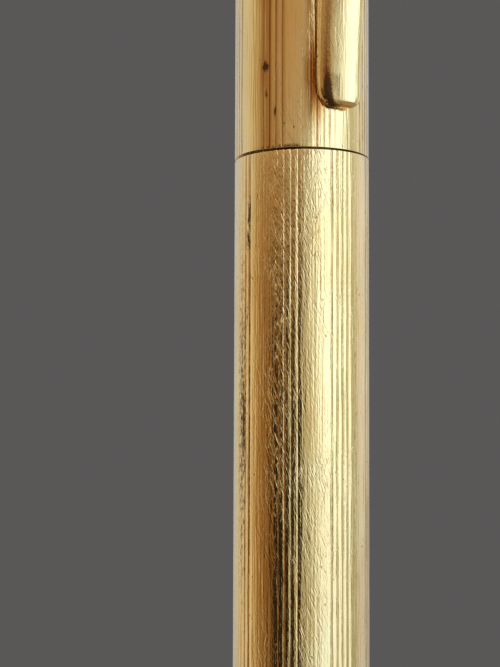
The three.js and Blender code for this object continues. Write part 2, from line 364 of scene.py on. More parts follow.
def filleted(profile, radius):
    """The profile with every inner corner rounded by about the radius."""
    points = [Vector(p) for p in profile]
    out = [points[0]]
    for before, corner, after in zip(points, points[1:], points[2:]):
        back, on = before - corner, after - corner
        if back.length < 1e-6 or on.length < 1e-6:
            continue
        trim = min(radius, 0.4 * back.length, 0.4 * on.length)
        start = corner + back.normalized() * trim
        end = corner + on.normalized() * trim
        for i in range(FILLET_STEPS + 1):
            t = i / FILLET_STEPS
            out.append(start.lerp(corner, t).lerp(corner.lerp(end, t), t))
    out.append(points[-1])
    return [tuple(p) for p in out]


def lathe(name, profile, segments, rounding, arc=None):
    """Turned piece from (radius, z) points, its corners rounded. A profile that starts and
    ends on the axis is solid, any other is closed back to its start. An arc in degrees
    leaves a gap."""
    hollow = profile[0][0] > 0
    if hollow:
        middle = [(profile[0][0] + profile[-1][0]) / 2, (profile[0][1] + profile[-1][1]) / 2]
        profile = filleted([middle, *profile, middle], rounding)[:-1]
    else:
        profile = filleted(profile, rounding)
    built = bmesh.new()
    first, last = arc or (0, 360)
    columns, poles = [], {}
    for i in range(segments + 1 if arc else segments):
        angle = math.radians(first + (last - first) * i / segments)
        column = []
        for k, (r, z) in enumerate(profile):
            if r == 0 and k in poles:
                column.append(poles[k])
                continue
            spot = (r * math.cos(angle) * MM, r * math.sin(angle) * MM, z * MM)
            vertex = built.verts.new(spot)
            if r == 0:
                poles[k] = vertex
            column.append(vertex)
        columns.append(column)
    bands = len(profile) if hollow else len(profile) - 1
    for i in range(segments):
        here, there = columns[i], columns[(i + 1) % len(columns)]
        for k in range(bands):
            n = (k + 1) % len(profile)
            corners = list(dict.fromkeys([here[k], there[k], there[n], here[n]]))
            if len(corners) > 2:
                built.faces.new(corners)
    if arc:
        built.faces.new(columns[0])
        built.faces.new(columns[-1][::-1])
    bmesh.ops.recalc_face_normals(built, faces=built.faces)
    mesh = bpy.data.meshes.new(name)
    built.to_mesh(mesh)
    built.free()
    finish_mesh(mesh, SHARP_DEG)
    return link(mesh, name)


def waves(rng, count, longest, shortest):
    """Smooth random function of a length, about -1 to 1: a sum of a few sines."""
    lengths = np.geomspace(longest, shortest, count)
    phases = rng.uniform(0, TAU, count)
    weights = (lengths / longest) ** 0.35
    weights /= weights.sum() ** 0.5

    def value(x):
        x = np.asarray(x, float)[..., None]
        return (np.sin(x * TAU / lengths + phases) * weights).sum(-1)

    return value


# ------------------------------------------------------------------ engraved shells

def row_heights(low, high):
    """Heights from low to high, close together where the photo shows the case."""
    heights = [low]
    while heights[-1] < high:
        near = CLOSE_UP[0] <= heights[-1] <= CLOSE_UP[1]
        heights.append(heights[-1] + (CLOSE_UP_ROW_STEP if near else ROW_STEP))
    heights = np.array(heights[:-1])
    return np.append(heights[heights < high - CLOSE_UP_ROW_STEP], high)


def line_layout(turn_deg):
    """Angles round a shell, the share of the full cut at each, and the number of the line
    that it is in, or -1 between lines."""
    across = np.linspace(-1, 1, LINE_STEPS)
    period = 360 / LINE_GROUPS
    half_deg = math.degrees(LINE_HALF_WIDTH / CASE_RADIUS)
    group_half_deg = (LINES_PER_GROUP - 1) / 2 * LINE_SPACING_DEG
    panel = period - 2 * group_half_deg - 2 * half_deg
    angles, shares, line_of = [], [], []

    def plain(angle):
        angles.append(angle)
        shares.append(0)
        line_of.append(-1)

    for group in range(LINE_GROUPS):
        centre = -90 + turn_deg + group * period
        for line in range(LINES_PER_GROUP):
            middle = centre + line * LINE_SPACING_DEG - group_half_deg
            for u in across:
                angles.append(middle + u * half_deg)
                groove = (u * u + LINE_BED_ROUNDING) ** LINE_SHAPE_POWER
                shares.append(1 - groove + LINE_SINK)
                line_of.append(group * LINES_PER_GROUP + line)
            if line < LINES_PER_GROUP - 1:
                plain(middle + LINE_SPACING_DEG / 2)
        edge = centre + group_half_deg + half_deg
        for step in range(1, PANEL_STEPS):
            plain(edge + panel * step / PANEL_STEPS)
    return np.array(angles), np.array(shares), np.array(line_of)


def add_marks(layer, marks, angle, z):
    """Raises a layer to each soft round mark that lies on it."""
    for turn_deg, height, half_turn, half_height, strength in marks:
        away = (angle + 90 - turn_deg + 180) % 360 - 180
        spread = (away / half_turn) ** 2 + ((z - height) / half_height) ** 2
        np.maximum(layer, strength * np.exp(-spread), out=layer)


def round_ring(radius, angles, height):
    """One row of a shell's grid."""
    height = np.broadcast_to(height, angles.shape)
    return np.stack([radius * np.cos(np.radians(angles)),
                     radius * np.sin(np.radians(angles)), height], -1)[None]


def line_end(distance, fade):
    """Share of the full cut at such distances in from where the lines end."""
    return np.clip(distance / fade, 0, 1) ** LINE_END_POWER


def engrave(heights, radius_at, depth_at, turn_deg, seed, stains, films, cuts, line_film):
    """A shell's outer face as a grid of angles and radii, with the tarnish and the film on it, the
    film also holding any painted shadow. Each engraved line wanders and varies in depth, and the
    metal is faintly dented."""
    rng = np.random.default_rng(seed)
    angles, shares, line_of = line_layout(turn_deg)
    wander, swell = [], []
    for _ in range(LINE_GROUPS * LINES_PER_GROUP):
        wander.append(waves(rng, 6, 14, 1.2))
        swell.append(waves(rng, 8, 6, 0.6))
    darkness = rng.uniform(0.25, 1, len(wander))
    dents = waves(rng, 5, 24, 4)
    ripple = waves(rng, 5, 11, 2)

    z = heights[:, None]
    angle = np.repeat(angles[None, :], len(heights), 0)
    cut, tarnish_and_painted_shade, film = (np.zeros_like(angle) for _ in range(3))
    for number in range(len(wander)):
        own = line_of == number
        angle[:, own] += wander[number](heights)[:, None] * LINE_WANDER_DEG
        deep = np.clip(1 + LINE_SWELL * swell[number](heights), *LINE_SWELL_LIMITS)
        deep = deep * cuts.get(number, 1) * depth_at(heights)
        cut[:, own] = deep[:, None] * shares[own]
        tarnish_and_painted_shade[:, own] = LINE_TARNISH * darkness[number] * cut[:, own]
        film[:, own] = line_film * darkness[number] * cut[:, own]
    add_marks(tarnish_and_painted_shade, stains, angle, z)
    add_marks(film, films, angle, z)
    bend = DENT_DEPTH * dents(z + 3 * np.sin(np.radians(angle)))
    bend += RIPPLE_DEPTH * ripple(z * 0.6 + 6 * np.sin(np.radians(2 * angle + 40)))
    radius = radius_at(heights)[:, None] - LINE_DEPTH * cut - np.abs(bend)
    return angles, angle, radius, tarnish_and_painted_shade, film


def closed_shell(heights, angles, angle, radius, seam_end, lean):
    """Points of a thin tube with the engraved outer face, rounded ends and a bore. Its end
    at the seam is its top or its bottom."""
    z = heights[:, None]
    low, high = heights[0], heights[-1]
    towards_lean = (1 + np.cos(np.radians(angles + 90 - SEAM_LEAN_DEG))) / 2
    seam_round = SEAM_ROUNDING * (1 - SEAM_SHARPENING * towards_lean)
    end_round = np.full(len(angles), SHELL_END_ROUNDING)
    round_top = seam_round if seam_end == "top" else end_round
    round_bottom = seam_round if seam_end == "bottom" else end_round
    near_top = np.clip((z - high + SEAM_REACH) / SEAM_REACH, 0, 1)
    near_bottom = np.clip((low + SEAM_REACH - z) / SEAM_REACH, 0, 1)
    rise = near_top * (round_top.max() - round_top)
    drop = near_bottom * (round_bottom.max() - round_bottom)
    top, bottom = high + round_top.max(), low - round_bottom.max()
    quarter = np.radians([22.5, 45, 67.5, 90])

    rows = [np.stack([radius * np.cos(np.radians(angle)), radius * np.sin(np.radians(angle)),
                      z + (rise - drop)], -1)]
    for a in quarter:
        rows.append(round_ring(radius[-1] - round_top * (1 - math.cos(a)), angle[0],
                               top - round_top * (1 - math.sin(a))))
    for height in np.linspace(top, bottom, SHELL_INNER_ROWS):
        rows.append(round_ring(SHELL_INNER_RADIUS, angle[0], height))
    for a in quarter[::-1]:
        rows.append(round_ring(radius[0] - round_bottom * (1 - math.cos(a)), angle[0],
                               bottom + round_bottom * (1 - math.sin(a))))
    grid = np.concatenate(rows)
    near = np.clip((grid[:, :, 2] - high + SEAM_REACH) / SEAM_REACH, 0, 1)
    grid[:, :, 2] += near * lean * towards_lean
    return grid


def engraved_shell(name, heights, seam_end, lean, **engraving):
    angles, angle, radius, tarnish_and_painted_shade, film = engrave(heights, **engraving)
    grid = closed_shell(heights, angles, angle, radius, seam_end, lean)
    bare = np.zeros((len(grid) - len(heights), len(angles)))
    return skin(name, grid, True, SHELL_SHARP_DEG,
                {"tarnish_and_painted_shade": np.concatenate([tarnish_and_painted_shade, bare]),
                 "film": np.concatenate([film, bare])})


def build_lower_barrel():
    low, high = span("lower_barrel")
    heights = row_heights(low + SHELL_END_ROUNDING, high - SEAM_ROUNDING)
    stops, radii = zip((heights[0], NOSE_SHOULDER_RADIUS), *BARREL_OUTLINE)
    return engraved_shell(
        "lower_barrel_skin", heights, "top", SEAM_LEAN,
        radius_at=lambda z: np.interp(z, stops, radii),
        depth_at=lambda z: line_end(z - BARREL_LINES_START, BARREL_LINES_FADE),
        turn_deg=BARREL_TURN_DEG, seed=BARREL_SEED, stains=BARREL_STAINS,
        films=BARREL_FILMS, cuts=BARREL_CUTS, line_film=BARREL_LINE_FILM)


def build_upper_barrel():
    low, high = span("upper_barrel")
    heights = row_heights(low + SEAM_ROUNDING, high - SHELL_END_ROUNDING)
    return engraved_shell(
        "upper_barrel_skin", heights, "bottom", 0.0,
        radius_at=lambda z: np.full(len(z), CASE_RADIUS),
        depth_at=lambda z: line_end(CAP_LINES_END - z, CAP_LINES_FADE),
        turn_deg=CAP_TURN_DEG, seed=CAP_SEED, stains=CAP_STAINS,
        films=CAP_FILMS_AND_PAINTED_SHADOW, cuts=CAP_CUTS, line_film=CAP_LINE_FILM)


# ------------------------------------------------------------------ clip

def catmull_rom(points, steps):
    """Smooth line through the points, the same count of steps in each span."""
    points = np.array([points[0], *points, points[-1]], float)
    out = []
    for i in range(1, len(points) - 2):
        p0, p1, p2, p3 = points[i - 1:i + 3]
        for t in np.arange(steps) / steps:
            out.append(0.5 * (2 * p1 + (p2 - p0) * t + (2 * p0 - 5 * p1 + 4 * p2 - p3) * t ** 2
                              + (3 * p1 - p0 - 3 * p2 + p3) * t ** 3))
    out.append(points[-2])
    return np.array(out)


def bell(x, middle, spread):
    return math.exp(-((x - middle) / spread) ** 2)


def clip_line(end):
    """The clip's middle line as (y, z) points: out of the ring, over the shoulder, and
    leaning in until the end lies on the cap."""
    line = catmull_rom([
        (-4.0, 130.55), (-4.42, 130.55), (-5.1, 130.55), (-5.75, 130.4), (-6.25, 129.8),
        (-6.4, 128.6), (-6.3, 122), (-5.9, 108), (-5.42, 94), (CLIP_END_Y - 0.34, 86),
        (CLIP_END_Y - 0.1, 82.4), (CLIP_END_Y, end + 2)], 8)
    rows = end + np.array(TONGUE_ROWS)
    return np.concatenate([line, np.stack([np.full(len(rows), CLIP_END_Y), rows], -1)])


def clip_section(to_end, crest):
    """Outline across the clip as (place across, height over the middle line) points."""
    under = max(1 - to_end / TONGUE_NOSE, 0)
    lower = -CLIP_BACK + TONGUE_NOSE_RISE * CLIP_BACK * (1 - math.sqrt(max(1 - under ** 2, 0)))

    def arch_at(u):
        fallen = max(1 - to_end / (TONGUE_FALL_LENGTH * (1 - TONGUE_FALL_LEAN * u)), 0)
        foot = -TONGUE_FALL_TO * CLIP_BACK
        peak = foot + (crest - foot) * math.sqrt(1 - fallen ** 2)
        wall = min(lower + CLIP_SIDE_WALL, 0.5 * (lower + peak))
        arch = (1 - u * u) ** CLIP_ARCH_POWER * (1 + CLIP_ARCH_LEAN * u) / CLIP_ARCH_PEAK
        return wall + (peak - wall) * arch

    last = math.acos(CLIP_ARCH_EDGE_STEP - CLIP_ARCH_EDGE)
    places = np.cos(np.linspace(0, last, CLIP_ARCH_STEPS)).tolist()
    dome = [(u, arch_at(u)) for u in places]
    edge = arch_at(-CLIP_ARCH_EDGE)
    for u in CLIP_WALL:
        down = (-u - CLIP_ARCH_EDGE) / (1 - CLIP_ARCH_EDGE)
        dome.append((u, edge + (lower + CLIP_WALL_FOOT - edge) * down))
    left = [(u, lower + height) for u, height in CLIP_BACK_HALF]
    right = [(-u, height) for u, height in reversed(left)]
    return [*dome, *left, (0, lower), *right]


def clip_marks(to_end, z, u):
    """Grime, painted shade and a painted highlight at a place on the clip."""
    low_down = z < CLIP_MARKS_TOP
    flank = FLANK_GRIME if low_down else FLANK_GRIME_ABOVE
    # The nose term is painted shade along the end; the corner and flank terms are grime
    grime_and_painted_shade = (CORNER_GRIME * bell(to_end, *CORNER_GRIME_ALONG) * bell(u, *CORNER_GRIME_ACROSS)
             + flank * bell(u, *FLANK_GRIME_ACROSS)
             + NOSE_PAINTED_SHADE * bell(to_end, *NOSE_PAINTED_SHADE_ALONG)
             * math.exp(-NOSE_PAINTED_SHADE_FADE * max(u, 0)))
    # Painted shade on the flank and the corner, less a painted highlight on the left edge
    film = FLANK_PAINTED_SHADE + CORNER_PAINTED_SHADE * bell(to_end, *CORNER_PAINTED_SHADE_ALONG) if low_down else 0
    film *= bell(u, *FLANK_PAINTED_SHADE_ACROSS)
    return grime_and_painted_shade, film - (EDGE_PAINTED_HIGHLIGHT if u < -CLIP_ARCH_EDGE else 0)


def build_clip():
    """Domed spring tongue, slightly twisted, with a rounded end."""
    end = span("clip_blade")[0]
    root = span("upper_barrel")[1]
    line = clip_line(end)
    along = np.gradient(line, axis=0)
    along /= np.linalg.norm(along, axis=1, keepdims=True)
    outward = np.stack([along[:, 1], -along[:, 0]], -1)
    rows, marks = [], []
    for (y, z), (out_y, out_z) in zip(line, outward):
        to_end = z - end
        down = min(max((root - z) / (root - end), 0), 1)
        width = CLIP_HALF_WIDTH_ROOT + (CLIP_HALF_WIDTH_END - CLIP_HALF_WIDTH_ROOT) * down
        grown = min(down * CLIP_CREST_GROWTH, 1)
        crest = CLIP_CREST_ROOT + (CLIP_CREST_END - CLIP_CREST_ROOT) * grown
        half_width = {}
        for side, (size, reach) in TONGUE_CORNERS.items():
            turn = max(1 - to_end / reach, 0)
            half_width[side] = width - (1 - math.sqrt(max(1 - turn ** 2, 0))) * size
        half_width[-1] -= CLIP_LEFT_TRIM
        twist = math.radians(CLIP_TWIST_DEG) * min(down * CLIP_TWIST_GROWTH, 1)
        row = []
        for u, height in clip_section(to_end, crest):
            x = u * half_width[1 if u > 0 else -1]
            aside = x * math.cos(twist) - height * math.sin(twist)
            lift = x * math.sin(twist) + height * math.cos(twist)
            row.append((aside + CLIP_SHIFT * down, y + out_y * lift, z + out_z * lift))
            marks.append(clip_marks(to_end, z, u))
        rows.append(row)
    grime_and_painted_shade, film = np.array(marks).T
    return skin("clip_skin", np.array(rows), False, SHARP_DEG,
                {"tarnish_and_painted_shade": grime_and_painted_shade, "film": film})


# ------------------------------------------------------------------ materials

class Shader:
    """One material's node tree, built a node at a time."""

    def __init__(self, name):
        self.material = bpy.data.materials.new(name)
        self.material.use_nodes = True
        self.tree = self.material.node_tree
        self.surface = self.tree.nodes["Principled BSDF"]
        self.place = self.node("TexCoord").outputs["Object"]

    def node(self, kind, inputs=None, **settings):
        made = self.tree.nodes.new("ShaderNode" + kind)
        for key, value in settings.items():
            setattr(made, key, value)
        for key, value in (inputs or {}).items():
            self.put(made.inputs[key], value)
        return made

    def put(self, socket, value):
        if isinstance(value, bpy.types.NodeSocket):
            self.tree.links.new(value, socket)
        else:
            socket.default_value = value

    def set(self, **values):
        for key, value in values.items():
            self.put(self.surface.inputs[key.replace("_", " ").title()], value)

    def math(self, operation, a, b=0.0, clamp=False):
        made = self.node("Math", {0: a, 1: b}, operation=operation, use_clamp=clamp)
        return made.outputs[0]

    def product(self, first, *others):
        for other in others:
            first = self.math("MULTIPLY", first, other)
        return first

    def mix(self, factor, a, b):
        made = self.node("Mix", data_type="RGBA")
        for socket, value in zip((made.inputs[0], made.inputs[6], made.inputs[7]),
                                 (factor, a, b)):
            if not isinstance(value, (float, int, bpy.types.NodeSocket)):
                value = (*value, 1)
            self.put(socket, value)
        return made.outputs[2]

    def tinted(self, colour, tint):
        return self.node("VectorMath", {0: colour, 1: tint}, operation="MULTIPLY").outputs[0]

    def between(self, value, low, high, to_low=0.0, to_high=1.0, curve="LINEAR"):
        return self.node("MapRange", {0: value, 1: low, 2: high, 3: to_low, 4: to_high},
                         clamp=True, interpolation_type=curve).outputs[0]

    def turn_and_height(self):
        """Angle round the object's axis from -Y towards +X, and height, in metres."""
        parts = self.node("SeparateXYZ", {0: self.place}).outputs
        return self.math("ARCTAN2", parts[0], self.math("MULTIPLY", parts[1], -1.0)), parts[2]

    def stretched(self, across, along, twist=0.0, seed=0.0):
        """Object coordinates for a texture with features so many mm across and along the
        pencil, wound round it by twist radians per metre."""
        place = self.place
        if twist:
            height = self.node("SeparateXYZ", {0: place}).outputs[2]
            turn = self.math("MULTIPLY", height, twist)
            place = self.node("VectorRotate", {"Vector": place, "Angle": turn},
                              rotation_type="Z_AXIS").outputs[0]
        scale = (1 / (across * MM), 1 / (across * MM), 1 / (along * MM))
        return self.node("Mapping", {"Vector": place, "Scale": scale,
                                     "Location": (seed, seed * 1.7, seed * 0.6)}).outputs[0]

    def noise(self, place, detail, roughness):
        return self.node("TexNoise", {"Vector": place, "Scale": 1.0, "Detail": detail,
                                      "Roughness": roughness}).outputs["Fac"]

    def cells(self, place):
        return self.node("TexVoronoi", {"Vector": place, "Scale": 1.0,
                                        "Randomness": 1.0}).outputs["Distance"]

    def bump(self, height, distance_mm, under=None):
        inputs = {"Height": height, "Distance": distance_mm * MM, "Strength": 1.0}
        if under is not None:
            inputs["Normal"] = under
        return self.node("Bump", inputs).outputs[0]


def slanting_strokes(s):
    """Short scuffs that slant both ways across the pencil."""
    right = s.noise(s.stretched(0.13, 1.1, 85, 3.1), 1, 0.5)
    left = s.noise(s.stretched(0.11, 0.8, -50, 8.4), 1, 0.5)
    return s.math("MAXIMUM", s.between(right, 0.55, 0.7), s.between(left, 0.6, 0.74))


def scattered_pits(s):
    """Round pits about half a millimetre apart, in loose patches."""
    spots = s.cells(s.stretched(0.55, 0.7, seed=1.3))
    patches = s.between(s.noise(s.stretched(1.6, 2.4, seed=9.0), 2, 0.5), 0.5, 0.66)
    return s.product(s.between(spots, 0.16, 0.08), patches)


def stain_cover(s, amount, blot, crisp):
    """How far brown stain covers the metal: blots of the given size in mm, where the mesh's
    tarnish is; on the clip's end this also paints shade. Crisp is the pair of levels between which
    a blot's edge fades."""
    held = s.math("MULTIPLY", s.node("Attribute", attribute_name="tarnish_and_painted_shade").outputs["Fac"], amount)
    blots = s.noise(s.stretched(*blot, seed=6.0), 4, 0.65)
    reach = s.math("ADD", blots, s.math("MULTIPLY", held, 0.42))
    return s.product(s.between(reach, *crisp), s.between(held, 0, 0.6))


def film_and_painted_light_tint(s):
    """Colour that the light takes on in the brown film, by the mesh's own film, which also paints
    the clip's shadow on the cap, shade on the clip's flank and a highlight on its left edge.
    """
    film = s.node("Attribute", attribute_name="film").outputs["Fac"]
    kept = [s.math("POWER", share, film) for share in FILM_AND_PAINTED_LIGHT_TINT]
    return s.node("CombineColor", dict(enumerate(kept))).outputs[0]


def gold(name, smooth, rough, streaks, scratches, pits, ripple=1.0, tarnish_and_painted_shade=0.0,
         blot=(0.13, 0.42), crisp=(0.6, 0.88)):
    """Worn gold-filled metal: drawn lengthwise, scuffed in slanting strokes, pitted where the gold
    has gone, and brown where the grime is not rubbed off. The mesh's marks also paint shade and a
    highlight into the colour."""
    s = Shader(name)
    patches = s.noise(s.stretched(3.5, 9), 4, 0.6)
    colour = s.mix(s.between(patches, 0.35, 0.72), GOLD_BRIGHT, GOLD_DEEP)
    turn, _ = s.turn_and_height()
    sides = s.math("COSINE", s.math("MULTIPLY", s.math("SUBTRACT", turn, RUBBED_TURN),
                                    float(RUBBED_SIDES)))
    rubbed = s.between(sides, -0.3, 0.75, 0.3, 1.0)
    worn = s.between(s.noise(s.stretched(2.2, 5, seed=5.0), 3, 0.55), 0.4, 0.62)
    strokes = s.product(slanting_strokes(s), worn, rubbed)
    grain = s.noise(s.stretched(0.12, 0.34, 40, 2.0), 1.2, 0.5)
    grain = s.product(s.math("SUBTRACT", grain, 0.5), rubbed)
    pit = s.product(scattered_pits(s), pits)
    grime_and_painted_shade = pit
    if tarnish_and_painted_shade:
        grime_and_painted_shade = s.math("MAXIMUM", pit, stain_cover(s, tarnish_and_painted_shade, blot, crisp), clamp=True)
        # The film tint also paints the clip's shadow on the cap, shade on its flank and a
        # highlight on its edge
        colour = s.tinted(colour, film_and_painted_light_tint(s))
    # The grime brown also paints shade along the clip's end
    colour = s.mix(s.math("MULTIPLY", grime_and_painted_shade, 0.92), colour, GRIME_AND_SHADE_BROWN)
    uneven = s.noise(s.stretched(1.1, 2.6, seed=4.0), 4, 0.6)
    roughness = s.between(uneven, 0.3, 0.7, smooth, rough)
    roughness = s.math("ADD", roughness, s.math("MULTIPLY", strokes, 0.1))
    roughness = s.math("ADD", roughness, s.math("MULTIPLY", grime_and_painted_shade, 0.35), clamp=True)
    broad = s.noise(s.stretched(1.5, 3.2, seed=7.0), 2, 0.5)
    drawn = s.noise(s.stretched(0.13, 4), 1.5, 0.5)
    normal = s.bump(broad, 0.03 * ripple)
    normal = s.bump(drawn, 0.02 * streaks, under=normal)
    normal = s.bump(strokes, -0.017 * scratches, under=normal)
    normal = s.bump(grain, 0.019 * scratches, under=normal)
    normal = s.bump(pit, -0.03, under=normal)
    s.set(base_color=colour, metallic=1.0, roughness=roughness, normal=normal)
    return s.material


def plain_metal(name, bright, dull, smooth, rough):
    """Turned or drawn inner part: faint turning rings, dull patches, fine grain."""
    s = Shader(name)
    patches = s.noise(s.stretched(1.4, 4), 4, 0.6)
    colour = s.mix(s.between(patches, 0.35, 0.7), bright, dull)
    rings = s.noise(s.stretched(6, 0.08, seed=2.0), 2, 0.5)
    grain = s.noise(s.stretched(0.1, 0.5, seed=3.0), 3, 0.6)
    roughness = s.between(grain, 0.3, 0.7, smooth, rough)
    normal = s.bump(rings, 0.004)
    normal = s.bump(grain, 0.003, under=normal)
    s.set(base_color=colour, metallic=1.0, roughness=roughness, normal=normal)
    return s.material


def graphite():
    """Dark lead with fine specks, drawn lengthwise."""
    s = Shader("graphite_core")
    speck = s.noise(s.stretched(0.06, 0.12), 4, 0.65)
    drawn = s.noise(s.stretched(0.05, 3, seed=4.0), 3, 0.6)
    colour = s.mix(s.between(speck, 0.35, 0.7), (0.022, 0.022, 0.026), (0.075, 0.075, 0.082))
    roughness = s.between(drawn, 0.3, 0.7, 0.38, 0.62)
    normal = s.bump(speck, 0.006)
    normal = s.bump(drawn, 0.006, under=normal)
    s.set(base_color=colour, metallic=0.35, roughness=roughness, normal=normal)
    return s.material


def rubber():
    """Crumbly red rubber, smudged with graphite."""
    s = Shader("aged_rubber")
    patches = s.noise(s.stretched(1.2, 1.6), 4, 0.6)
    crumbs = s.noise(s.stretched(0.22, 0.22, seed=3.0), 4, 0.7)
    smudge = s.between(s.noise(s.stretched(1.8, 0.9, seed=6.0), 3, 0.6), 0.5, 0.75)
    colour = s.mix(s.between(patches, 0.3, 0.7), (0.4, 0.13, 0.1), (0.52, 0.2, 0.155))
    colour = s.mix(s.math("MULTIPLY", smudge, 0.55), colour, (0.12, 0.085, 0.08))
    roughness = s.between(crumbs, 0.3, 0.7, 0.75, 0.95)
    normal = s.bump(patches, 0.08)
    normal = s.bump(crumbs, 0.03, under=normal)
    s.set(base_color=colour, roughness=roughness, normal=normal)
    return s.material


FINISHES = {
    "gold_barrel": gold("gold_barrel_worn", smooth=0.14, rough=0.22, streaks=1.5, scratches=0.95,
                        pits=0.4, tarnish_and_painted_shade=0.6, crisp=(0.66, 0.82)),
    "gold_cap": gold("gold_cap_polished", smooth=0.14, rough=0.2, streaks=1.3, scratches=0.24,
                     pits=0.45, tarnish_and_painted_shade=0.9, ripple=1.3),
    "gold_clip": gold("gold_clip_polished", smooth=0.12, rough=0.18, streaks=0.8, scratches=0.42,
                      pits=0.5, tarnish_and_painted_shade=1.0, ripple=0.6, blot=(0.07, 0.1),
                      crisp=(0.68, 0.8)),
    "gold_trim": gold("gold_trim_satin", smooth=0.18, rough=0.3, streaks=0.4, scratches=0.6,
                      pits=0.3, ripple=0.5),
    "inner_brass": plain_metal("drawn_brass", (0.72, 0.52, 0.24), (0.5, 0.33, 0.15), 0.28, 0.42),
    "inner_steel": plain_metal("turned_steel", (0.56, 0.56, 0.55), (0.4, 0.39, 0.37), 0.25, 0.4),
    "graphite": graphite(),
    "eraser_rubber": rubber(),
}


def dress(piece, slot, *nodes, body=None):
    """Gives a piece its finish, what it stands for and the body it rides on."""
    piece.data.materials.clear()
    piece.data.materials.append(FINISHES[slot])
    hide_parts(*nodes)
    if body:
        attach(piece, body)
    return piece


# ------------------------------------------------------------------ turned pieces

def tube_outline(inner, outer, low, high):
    return [(inner, low), (outer, low), (outer, high), (inner, high)]


def build_nose_cone():
    """Arched cone with a bore in steps and a spigot that plugs into the barrel."""
    low, high = span("nose_cone")
    shoulder = high - NOSE_SPIGOT
    arc = math.radians(NOSE_ARC_DEG)
    outline = [(0.95, low), (NOSE_TIP_RADIUS - 0.12, low), (NOSE_TIP_RADIUS, low + 0.15)]
    for step in range(1, NOSE_STEPS + 1):
        share = step / NOSE_STEPS
        bulge = math.sin(arc * share) / math.sin(arc)
        outline.append((NOSE_TIP_RADIUS + (NOSE_SHOULDER_RADIUS - NOSE_TIP_RADIUS) * bulge,
                        low + (shoulder - low) * share))
    outline += [(3.65, shoulder), (3.65, high), (3.05, high), (3.05, 18), (1.95, 18),
                (1.95, 14), (1.25, 14), (1.25, 5), (0.95, 5)]
    return lathe("nose_cone_skin", outline, 128, 0.04)


def build_lead_sleeve():
    low, high = span("lead_sleeve")
    outline = [(0.5, low), (0.78, low), (0.85, low + 0.2), (0.85, high), (0.5, high)]
    return lathe("lead_sleeve_skin", outline, 64, 0.04)


def build_lead():
    low, high = span("lead")
    outline = [(0, low), (0.38, low), (0.45, low + 0.09), (0.45, high), (0, high)]
    return lathe("lead_skin", outline, 48, 0.05)


def build_drive_collar():
    """Collar under a spigot for the cap's liner, with the magazine tube's seat inside."""
    low, high = span("drive_collar")
    seat = span("magazine_tube")[0]
    shoulder = span("lower_barrel")[1] - 0.1
    outline = [(2.6, low), (3.7, low), (3.7, shoulder), (3.25, shoulder), (3.25, high),
               (2.95, high), (2.95, seat), (2.6, seat)]
    return lathe("drive_collar_skin", outline, 128, 0.06)


def build_magazine_tube():
    outline = tube_outline(2.45, 2.85, *span("magazine_tube"))
    return lathe("magazine_tube_skin", outline, 128, 0.08)


def build_grip_spring():
    """Ring that is split on one side."""
    outline = tube_outline(2.95, 3.28, *span("grip_spring"))
    return lathe("grip_spring_skin", outline, 96, 0.08, arc=(20, 340))


def build_clip_ring():
    outline = tube_outline(1.4, CASE_RADIUS, *span("clip_ring"))
    return lathe("clip_ring_skin", outline, 128, 0.1)


def build_finial():
    """Domed crown over a foot and a shallow neck, hollow for the screw's head."""
    low, high = span("finial")
    outline = [(0, 134), (1.3, 134), (1.3, low), (CASE_RADIUS, low), (CASE_RADIUS, 131.7),
               (4.05, 131.95), (3.95, 132.35), (4.02, 132.75), (3.98, 133.4), (3.72, 134.2),
               (3.25, 134.95), (2.65, 135.6), (2.0, high), (0, high)]
    return lathe("finial_skin", outline, 128, 0.22)


def build_eraser_ferrule():
    """Cup for the eraser with a rim on the magazine tube and a foot that holds the pin."""
    low, high = span("eraser_ferrule")
    outline = [(0.38, 110), (0.9, 110), (0.9, 112), (1.9, 112), (1.9, low), (2.35, low),
               (2.35, 112.2), (2.85, 112.2), (2.85, high), (2.45, high), (2.45, 113),
               (0.38, 113)]
    return lathe("eraser_ferrule_skin", outline, 96, 0.07)


def build_eraser():
    low, high = span("eraser")
    outline = [(0, low), (2.3, low), (2.3, 117.4), (2.12, 118.05), (1.5, 118.4), (0, high)]
    return lathe("eraser_skin", outline, 96, 0.25)


# ------------------------------------------------------------------ assembly

dress(build_lower_barrel(), "gold_barrel", "lower_barrel", body="barrel")
dress(build_upper_barrel(), "gold_cap", "upper_barrel", body="cap")
dress(build_nose_cone(), "gold_trim", "nose_cone", body="barrel")
dress(build_lead_sleeve(), "gold_trim", "lead_sleeve", body="barrel")
dress(build_lead(), "graphite", "lead", body="feed")
dress(build_drive_collar(), "inner_brass", "drive_collar", body="drive")
dress(build_magazine_tube(), "inner_brass", "magazine_tube", body="drive")
dress(build_grip_spring(), "inner_steel", "grip_spring", body="drive")
dress(build_clip_ring(), "gold_trim", "clip_ring", body="cap")
dress(build_finial(), "gold_trim", "finial", body="cap")

clip = dress(build_clip(), "gold_clip", "clip_blade")
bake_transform(clip)

dress(build_eraser_ferrule(), "gold_trim", "eraser_ferrule", body="eraser_unit")
dress(build_eraser(), "eraser_rubber", "eraser", body="eraser_unit")

# The nodes that stay out of sight keep their CAD meshes
SLOTS = {part["node"]: part["material_slot"] for part in frame["record"]["subparts"]}
for node_name, node in frame["nodes"].items():
    if not node.hide_render:
        for material_slot in node.material_slots:
            material_slot.material = FINISHES[SLOTS[node_name]]


# ------------------------------------------------------------------ surroundings

